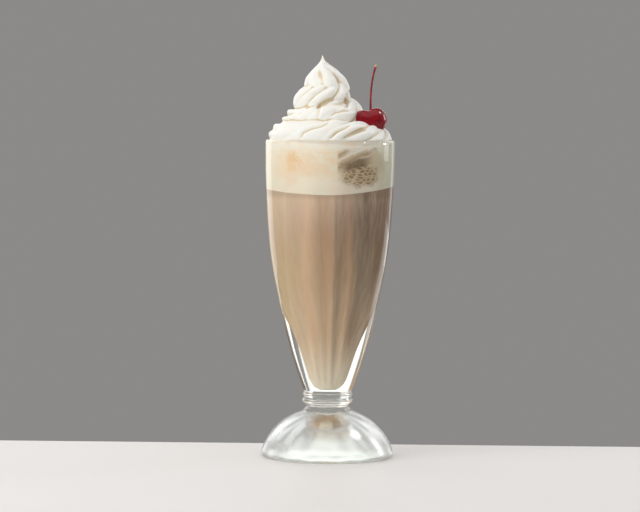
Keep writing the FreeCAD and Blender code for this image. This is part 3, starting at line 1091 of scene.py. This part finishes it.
@dataclass(frozen=True)
class CreamSwirl:
    """Whipped cream, piped as a ridged rope in a rising coil and pulled up to a peak."""

    # Turns from the left-hand side, coil radius, height, rope radius, lean along X
    coil: Curve = Curve((
        (-1.2, 27.5, 199.0, 8.5, 0.0), (-1.0, 27.8, 200.0, 10.4, 0.0), (-0.5, 28.8, 202.0, 10.6, 0.0),
        (0.0, 28.4, 203.4, 11.0, 0.0), (0.25, 29.3, 205.2, 11.0, 0.0), (0.37, 29.0, 205.4, 10.8, 0.0),
        (0.42, 29.4, 201.8, 10.0, 0.0), (0.5, 30.8, 199.8, 10.0, 0.0), (1.0, 20.5, 213.2, 9.6, 0.0),
        (1.5, 11.5, 219.4, 9.8, -0.4), (2.0, 13.0, 227.0, 10.2, -0.8), (2.5, 3.5, 231.5, 10.0, -1.6),
        (2.9, 1.5, 234.0, 8.0, -2.0)), 0.05)
    twist: Curve = Curve(((-1.2, 0.1), (0.8, 0.1), (1.2, 0.13), (2.0, 0.15), (2.9, 0.15)))
    twist_start: float = 0.63
    folds: Ridges = Ridges(5, 0.25, 0.7, 0.1, 0.3)
    teeth: Ridges = Ridges(10, 0.17, 1.5, 0.1, 0.1)
    rope_rows: int = 840
    rope_columns: int = 140
    # A hand never pipes evenly. Size, waves to a turn and shift of the folds' wandering
    wander: tuple[Point, ...] = ((0.3, 1.7, 1.0), (0.14, 4.3, 0.0))
    # How much of the teeth's steps shows on the left-hand side, by turns, and how high they stand
    stepped: tuple[tuple[float, ...], ...] = ((0.3, 0.7, 1.2, 1.5), (0.4, 1, 1, 0))
    step_size: float = 1.9
    step_rise: float = 0.14
    step_turn: float = 0.35
    side_width: float = 0.45
    # How much shallower the folds are on the left, on the steps, and at the front up to a turn
    shallower: Point = (0.72, 0.2, 0.5)
    front_end: float = 1.75
    # Heights just below and above the rim, and the greatest radius of the cream there
    rim: tuple[Pair, Pair] = ((202.6, 204.6), (38.4, 42.0))
    # Height, radius, bearing of a groove in degrees right of the front, middle's X and Y
    peak: Curve = Curve((
        (224.0, 8.0, -40.0, -1.4, 0.0), (229.0, 12.4, -5.0, -1.4, 0.0), (232.0, 14.2, 18.0, -1.8, -0.3),
        (236.3, 14.8, 47.0, -2.2, -0.8), (241.5, 13.4, 46.0, -3.0, -1.0), (246.0, 9.9, 36.0, -3.5, -1.0),
        (250.0, 5.3, 24.0, -4.5, -0.8), (252.0, 2.8, 20.0, -5.0, -0.7), (254.2, 1.15, 15.0, -5.3, -0.5),
        (256.9, 0.25, 10.0, -5.5, -0.5)), 0.04)
    peak_ridges: Ridges = Ridges(6, 0.1, 0.8, 0.2, 0.15)
    peak_rows: int = 220
    peak_columns: int = 180
    # One deep fold runs down the right of the front, and a dent lies to its left. Bearing from the
    # groove, width, depth, height of the middle, reach up and down
    dents: Stations = ((0.0, 0.2, 0.27, 238.0, 9.5), (-1.25, 0.32, 0.3, 244.5, 4.4))
    tip_height: float = 0.15
    # Height and radius of the cream between the turns
    core: Curve = Curve(((199.5, 26.0), (206.0, 25.0), (213.0, 18.0), (222.0, 10.0), (234.0, 6.0)))
    core_rows: int = 30
    core_columns: int = 60
    creases: tuple[Crease, ...] = (
        Crease(((-8.0, 217.0), (-7.8, 222.0), (-6.6, 225.4), (-4.4, 227.4), (-1.3, 228.4), (2.7, 228.8),
                (7.7, 228.6)), 1.3, 1.3),
        Crease(((-0.8, 218.2), (3.2, 221.2), (8.0, 222.4), (13.7, 222.0)), 1.6, 0.9),
        Crease(((10.8, 224.4), (10.2, 227.5), (10.6, 231.0)), 3.2, 1.5),
        Crease(((-19.2, 203.8), (-17.4, 208.4), (-12.6, 211.2), (-5.5, 213.2), (1.5, 217.0)), 1.9, 1.1),
        Crease(((-0.8, 204.2), (4.2, 209.4), (9.2, 212.0), (13.7, 214.8)), 2.0, 1.1),
        Crease(((7.4, 204.4), (13.4, 208.0), (19.2, 210.4), (25.4, 211.0)), 1.9, 1.0),
    )
    # Size of the skin's faces, and how it is softened: rounds, share smoothed, share of that undone
    grain: float = 0.52
    rounds: int = 2
    smoothed: float = 0.5
    undone: float = 0.9
    # Rings of neighbours that a crease is measured against and blurred over, and its full depth
    crease_rings: int = 6
    blur_rings: int = 2
    full_crease: float = 0.25

    def rope(self) -> tuple[Rings, np.ndarray, np.ndarray]:
        """The coiled rope.

        Point(s, a) = P(s) + A (1 - g(a - t(s)) - h(a)) (cos a N + sin a U), where P climbs the
        coil, N points away from the coil's middle, U is across the path and up, t is the twist,
        g are the folds and h the steps that the nozzle's teeth leave on the left.

        Returns:
            Its rings, and the points at its two ends.
        """
        turn = self.coil.spaced(self.rope_rows)
        radius, height, rope, lean = (self.coil.at(turn, c) for c in (1, 2, 3, 4))
        bearing = math.pi + 2 * math.pi * turn
        outward = np.stack([np.cos(bearing), np.sin(bearing), 0 * turn], axis=1)
        path = radius[:, None] * outward + np.stack([lean, 0 * turn, height], axis=1)
        along = np.gradient(path, axis=0)
        length = np.linalg.norm(along, axis=1)
        along /= length[:, None]
        normal = outward - (outward * along).sum(1)[:, None] * along
        normal /= np.linalg.norm(normal, axis=1)[:, None]
        up = np.cross(normal, along)
        twist = np.cumsum(self.twist.at(turn) * length)
        twist += self.twist_start - np.interp(0.0, turn, twist)
        twist += sum(size * np.sin(2 * math.pi * waves * turn + shift) for size, waves, shift in self.wander)
        angle = np.linspace(-math.pi, math.pi, self.rope_columns, endpoint=False)[None, :]
        wave = angle - twist[:, None]
        bearing = bearing[:, None]
        # The folds swell and shrink in waves along the rope and round it
        swell = 1 + 0.3 * np.sin(2.3 * bearing + 2 * angle) + 0.2 * np.sin(5.1 * bearing + angle)
        # On the left the folds are smoothed away, and the nozzle's teeth leave level steps instead
        left = (0.5 - 0.5 * np.cos(bearing)) ** 2
        side = np.exp(-(np.sin(bearing) / self.side_width) ** 2) * left
        side *= np.interp(turn, *self.stepped)[:, None]
        front = np.maximum(0, -np.sin(bearing)) * (turn[:, None] < self.front_end)
        on_left, on_steps, in_front = self.shallower
        groove = (self.folds.groove(wave) * (1 - on_left * left - on_steps * side) * (1 - in_front * front)
                  * swell)
        steps = self.teeth.groove(angle - self.step_turn) * self.step_size - self.step_rise
        groove = groove + steps * side
        r = rope[:, None] * (1 - groove)
        rings = path[:, None] + r[..., None] * (np.cos(angle)[..., None] * normal[:, None]
                                                + np.sin(angle)[..., None] * up[:, None])
        return self.kept_in_glass(rings), path[0], path[-1]

    def kept_in_glass(self, rings: Rings) -> Rings:
        """Presses what is below the rim against the glass's wall.

        Args:
            rings: Points.

        Returns:
            The points, none further out than the wall below the rim.
        """
        out = np.hypot(rings[..., 0], rings[..., 1])
        room = np.interp(rings[..., 2], *self.rim)
        share = np.minimum(1.0, room / np.maximum(out, 1e-6))
        return rings * np.stack([share, share, np.ones_like(share)], axis=-1)

    def peak_rings(self) -> Rings:
        """The pulled-up end of the rope.

        Point(z, b) = M(z) + R(z) (1 - g(b - b0(z))) (cos b, sin b, 0), its grooves turning
        with the coil below and running straight up to the tip.

        Returns:
            Its rings.
        """
        z = self.peak.spaced(self.peak_rows)
        radius, groove, x, y = (self.peak.at(z, c)[:, None] for c in (1, 2, 3, 4))
        bearing = np.linspace(0, 2 * math.pi, self.peak_columns, endpoint=False)[None, :]
        angle = bearing - FRONT - np.radians(groove)
        share = 1 - self.peak_ridges.groove(angle + math.pi / self.peak_ridges.count)
        for middle, width, depth, level, reach in self.dents:
            share -= self.notch(angle, middle, width) * depth * np.exp(-((z[:, None] - level) / reach) ** 2)
        r = radius * share
        return np.stack([x + r * np.cos(bearing), y + r * np.sin(bearing), z[:, None] + 0 * r], axis=2)

    def notch(self, angle: np.ndarray, middle: float, width: float) -> np.ndarray:
        """A single groove: exp(-((a - m) / w) ** 2), with the angle taken the short way round."""
        off = np.angle(np.exp(1j * (angle - middle)))
        return np.exp(-((off / width) ** 2))

    def core_rings(self) -> Rings:
        """The cream between the turns: Point(z, b) = (R(z) cos b, R(z) sin b, z).

        Returns:
            Its rings.
        """
        z = self.core.spaced(self.core_rows)[:, None]
        bearing = np.linspace(0, 2 * math.pi, self.core_columns, endpoint=False)[None, :]
        r = self.core.at(z)
        return np.stack([r * np.cos(bearing), r * np.sin(bearing), z + 0 * bearing], axis=2)

    def melt_together(self, obj: bpy.types.Object) -> None:
        """Joins the turns into one skin.

        Args:
            obj: The cream, whose mesh is replaced.
        """
        remesh = obj.modifiers.new("melt", "REMESH")
        remesh.mode = "VOXEL"
        remesh.voxel_size = self.grain * MM
        remesh.use_smooth_shade = True
        evaluated = obj.evaluated_get(bpy.context.evaluated_depsgraph_get())
        mesh = bpy.data.meshes.new_from_object(evaluated)
        obj.modifiers.clear()
        obj.data = mesh

    def carve(self, skin: Skin) -> None:
        """Carves the creases into the skin, softens it and marks what lies deep, for the finish's painted
        shade.

        The crease value is how far a point lies below the mean of the skin round it, taken
        over a few rings of neighbours.

        Args:
            skin: The joined cream.
        """
        place, normal = skin.read("co"), skin.read("normal")
        facing = np.clip(-2 * normal[:, 1], 0, 1)
        deep = sum(crease.depth_at(place / MM) for crease in self.creases) * facing
        place -= normal * deep[:, None] * MM
        for _ in range(self.rounds):
            place += self.smoothed * (skin.spread(place) - place)
            place -= self.smoothed * (skin.spread(place) - place) * self.undone
        skin.mesh.vertices.foreach_set("co", place.ravel())
        skin.mesh.update()
        # The mark for the painted shade: how deep each point lies below the skin round it
        wide = skin.spread(place, self.crease_rings)
        depth = ((wide - place) * skin.read("normal")).sum(1, keepdims=True) / MM
        depth = skin.spread(depth, self.blur_rings)[:, 0]
        crease = skin.mesh.attributes.new("crease", "FLOAT", "POINT")
        crease.data.foreach_set("value", np.clip(depth / self.full_crease, 0, 1))

    def build(self) -> bpy.types.Object:
        """Makes the swirl as one skin.

        Returns:
            The piece.
        """
        rope, start, end = self.rope()
        peak, core = self.peak_rings(), self.core_rings()
        tip = peak[-1].mean(axis=0) + (0, 0, self.tip_height)
        swirl = closed_object("cream_swirl", [
            (rope, start, end), (peak, peak[0].mean(axis=0), tip),
            (core, (0, 0, core[0, 0, 2]), (0, 0, core[-1, 0, 2]))], WhippedCreamFinish().material())
        self.melt_together(swirl)
        self.carve(Skin(swirl.data))
        LOG.info("cream_swirl: %d faces once joined", len(swirl.data.polygons))
        return show(swirl, "whipped_cream")


# Cherry


@dataclass(frozen=True)
class Cherry:
    """A maraschino cherry with a dimple, a cleft down two sides and a bent stem."""

    radius: float = 10.7
    centre: Point = (25.4, -7.8, 215.8)
    lean: float = math.radians(11.0)
    flatness: float = 0.12
    dimple_depth: float = 4.0
    dimple_width: float = 0.5
    cleft_depth: float = 2.8
    cleft_width: float = 0.5
    rows: int = 130
    columns: int = 180
    stem_rows: int = 160
    stem_columns: int = 28
    # From the middle of the stem's last ring to the top of its end
    stem_end: Point = (0.1, 0, 0.25)
    # Height, X, radius of the stem
    stem: Curve = Curve((
        (218.8, 25.5, 1.0), (222.0, 25.4, 0.78), (230.0, 25.4, 0.7), (238.0, 25.9, 0.66),
        (245.0, 27.0, 0.66), (249.4, 28.2, 0.75), (250.4, 28.55, 0.95), (251.2, 28.85, 0.8)), 0.05)

    def skin(self) -> Rings:
        """The cherry's skin.

        r(p, a) = R (1 - f cos^2 p) - D exp(-(p / w)^2) - C sin p cos^2(p / 2) exp(-(a' / v)^2),
        where p is the angle from the stem and a' the angle from the nearer cleft.

        Returns:
            Its rings, from the bottom to the dimple.
        """
        polar = np.linspace(math.pi, 0, self.rows + 2)[1:-1, None]
        azimuth = np.linspace(0, 2 * math.pi, self.columns, endpoint=False)[None, :]
        r = self.radius * (1 - self.flatness * np.cos(polar) ** 2)
        r = r - self.dimple_depth * np.exp(-(polar / self.dimple_width) ** 2)
        off = np.arcsin(np.abs(np.cos(azimuth)))
        fade = np.sin(polar) * np.maximum(0, np.cos(polar / 2)) ** 2
        r = r - self.cleft_depth * fade * np.exp(-(off / self.cleft_width) ** 2)
        flat = np.stack([r * np.sin(polar) * np.cos(azimuth), r * np.sin(polar) * np.sin(azimuth),
                         r * np.cos(polar)], axis=2)
        return self.placed(flat)

    def placed(self, points: np.ndarray) -> np.ndarray:
        """Leans points of the cherry to the left and puts them in its place.

        Args:
            points: Points about the cherry's own middle.

        Returns:
            The same points in the float's frame.
        """
        c, s = math.cos(self.lean), math.sin(self.lean)
        turned = points @ np.array([(c, 0, s), (0, 1, 0), (-s, 0, c)])
        return turned + np.array(self.centre)

    def stem_rings(self) -> Rings:
        """The stem, a round rod along a bent line in the XZ plane.

        Point(z, a) = P(z) + R(z) (cos a N + sin a Y), where N is across the line.

        Returns:
            Its rings.
        """
        z = self.stem.spaced(self.stem_rows)
        x, radius = self.stem.at(z), self.stem.at(z, 2)
        slope = np.gradient(x, z)
        across = np.stack([1 / np.hypot(1, slope), 0 * z, -slope / np.hypot(1, slope)], axis=1)
        angle = np.linspace(0, 2 * math.pi, self.stem_columns, endpoint=False)
        path = np.stack([x, 0 * z + self.centre[1], z], axis=1)
        side = np.array([0.0, 1.0, 0.0])
        return path[:, None] + radius[:, None, None] * (
            np.cos(angle)[None, :, None] * across[:, None] + np.sin(angle)[None, :, None] * side)

    def build(self) -> list[bpy.types.Object]:
        """Makes the cherry and its stem.

        Returns:
            The pieces.
        """
        bottom = self.placed(np.array([0, 0, -self.radius * (1 - self.flatness)]))
        top = self.placed(np.array([0, 0, self.radius * (1 - self.flatness) - self.dimple_depth]))
        fruit = closed_object("cherry_fruit", [(self.skin(), bottom, top)], CherrySkin().material())
        rings = self.stem_rings()
        ends = rings[0].mean(axis=0), rings[-1].mean(axis=0) + self.stem_end
        stalk = closed_object("cherry_stalk", [(rings, *ends)], CherryStemFinish().material())
        return [show(fruit, "cherry"), show(stalk, "cherry_stem")]


# Studio


@dataclass(frozen=True)
class Softbox:
    """An area lamp aimed at the drink.

    Its bearing is in degrees from the front, right positive, its sizes are in metres and its
    power in watts. A lamp that doesn't light is only mirrored, as a highlight, and one that isn't
    mirrored only lights.
    """

    name: str
    bearing: float
    distance: float
    height: float
    width: float
    tall: float
    power: float
    lights: bool = True
    mirrored: bool = True
    aim: float = 0.15

    def build(self) -> bpy.types.Object:
        """Makes the lamp.

        Returns:
            The lamp.
        """
        data = bpy.data.lights.new(self.name, "AREA")
        data.shape = "RECTANGLE"
        data.size, data.size_y = self.width, self.tall
        data.energy = self.power
        lamp = linked(self.name, data)
        turn = math.radians(self.bearing)
        place = Vector((self.distance * math.sin(turn), -self.distance * math.cos(turn), self.height))
        lamp.location = place
        lamp.visible_diffuse = lamp.visible_transmission = self.lights
        lamp.visible_glossy = self.mirrored
        lamp.rotation_euler = (Vector((0, 0, self.aim)) - place).to_track_quat("-Z", "Y").to_euler()
        return lamp


@dataclass(frozen=True)
class Studio:
    """A pale tabletop before a plain grey ground, with soft light mostly from the left.

    Sizes are in metres.
    """

    ground: str = "#8b8a88"
    fill: float = 0.45
    table_back: float = 0.067
    table_size: float = 1.6
    table_edge: float = 0.004
    table_thickness: float = 0.05
    lamps: tuple[Softbox, ...] = (
        Softbox("key_left", -55, 1.5, 0.8, 1.1, 1.1, 9.5, mirrored=False),
        Softbox("edge_left", -143, 1.35, 0.45, 0.75, 1.3, 3.3),
        Softbox("strip_right", 118, 1.4, 0.6, 0.42, 1.0, 2.0),
        Softbox("edge_right", 147, 1.5, 0.45, 0.3, 1.2, 0.9),
        Softbox("low_right", 140, 1.5, -0.18, 0.7, 0.36, 0.8),
        Softbox("glint_high", 92, 0.8, 1.15, 0.36, 0.3, 7.0, lights=False),
        Softbox("glint_side", 113, 1.3, 0.5, 0.14, 0.6, 6.0, lights=False),
        Softbox("behind", 180, 1.9, 0.85, 2.2, 0.7, 5.0),
        Softbox("overhead", -20, 0.35, 1.5, 1.8, 1.4, 7.8),
    )
    camera_distance: float = 2.0
    camera_elevation: float = math.radians(3.6)
    camera_roll: float = math.radians(0.59)
    camera_target: Point = (-0.0058, 0.0, 0.1286)
    view_width: float = 0.4096
    # In millimetres
    sensor: float = 36.0

    def tabletop(self) -> bpy.types.Object:
        """Makes the tabletop, its rear edge rounded.

        Point(s, x) is a profile in the YZ plane carried along X.

        Returns:
            The tabletop.
        """
        turn = np.linspace(math.pi / 2, 0, 9)
        edge = self.table_edge
        y = np.concatenate([[-self.table_size], self.table_back - edge + edge * np.cos(turn),
                            [self.table_back]])
        z = np.concatenate([[0.0], -edge + edge * np.sin(turn), [-self.table_thickness]])
        x = np.array([-self.table_size, self.table_size])
        points = np.stack(np.broadcast_arrays(x[None, :], y[:, None], z[:, None]), axis=2).reshape(-1, 3)
        start = 2 * np.arange(len(y) - 1)[:, None]
        mesh = bpy.data.meshes.new("tabletop")
        mesh.from_pydata(points.tolist(), [], (start + np.array([[0, 1, 3, 2]])).tolist())
        mesh.materials.append(PaleTable().material())
        return linked("tabletop", mesh)

    def surroundings(self) -> None:
        """Makes the world: the grey ground to look at, and a soft white fill as light."""
        nodes = Nodes("studio", world=True)
        camera, glossy, through, depth = (nodes.add("LightPath", out=name) for name in (
            "Is Camera Ray", "Is Glossy Ray", "Is Transmission Ray", "Diffuse Depth"))
        seen = nodes.add("MAXIMUM", nodes.add("MAXIMUM", camera, glossy), through)
        # What fills the glass is lit through it by the same fill as everything else
        seen = nodes.add("GREATER_THAN", seen, depth)
        light = nodes.add("Background", (1, 1, 1, 1), self.fill)
        ground = nodes.add("Background", linear(self.ground))
        nodes.add("OutputWorld", nodes.add("MixShader", seen, light, ground))
        bpy.context.scene.world = nodes.owner

    def camera(self) -> bpy.types.Object:
        """Makes the camera, a little above the drink's middle and turned slightly.

        Returns:
            The camera.
        """
        data = bpy.data.cameras.new("camera")
        data.sensor_width = self.sensor
        data.lens = self.sensor * self.camera_distance / self.view_width
        data.clip_end = 50.0
        camera = linked("camera", data)
        target = Vector(self.camera_target)
        back = Vector((0, -math.cos(self.camera_elevation), math.sin(self.camera_elevation)))
        turn = back.to_track_quat("Z", "Y").to_matrix().to_4x4()
        camera.matrix_world = (Matrix.Translation(target + self.camera_distance * back) @ turn
                               @ Matrix.Rotation(self.camera_roll, 4, "Z"))
        bpy.context.scene.camera = camera
        return camera

    def build(self) -> None:
        """Makes the whole studio."""
        self.tabletop()
        self.surroundings()
        for lamp in self.lamps:
            lamp.build()
        self.camera()
        scene = bpy.context.scene
        scene.view_settings.view_transform = "Standard"
        # Light goes to and fro between the filling and the wall, and through many walls of the foot
        scene.cycles.max_bounces = 64
        scene.cycles.diffuse_bounces = 16
        scene.cycles.transmission_bounces = 32
        scene.cycles.glossy_bounces = 48
        scene.cycles.blur_glossy = 0.0


def main() -> None:
    """Builds the float and its studio."""
    logging.basicConfig(level=logging.INFO, format="%(name)s %(message)s")
    glass = SodaGlass()
    glass.build()
    bottom = Level(45.2)
    drink_top = Level(171.0, 1.1, ((2, 1.6, 0.0), (3, 0.12, 0.4), (7, 0.08, 1.0)))
    foam_top = Level(200.2, -0.5, ((2, 0.8, 0.3), (5, 0.6, 1.1), (9, 0.35, 2.0)))
    Filling("root_beer", glass, bottom, drink_top, Slot.ROOT_BEER, "drink").build(RootBeer().material())
    Filling("foam", glass, drink_top, foam_top, Slot.FOAM, "foam_head", rows=50).build(Foam().material())
    Filling("cream_bed", glass, foam_top, Level(203.3), Slot.CREAM, "whipped_cream", rows=14).build(
        CreamAgainstGlass().material())
    CreamSwirl().build()
    Cherry().build()
    Studio().build()


if __name__ == "__main__":
    main()
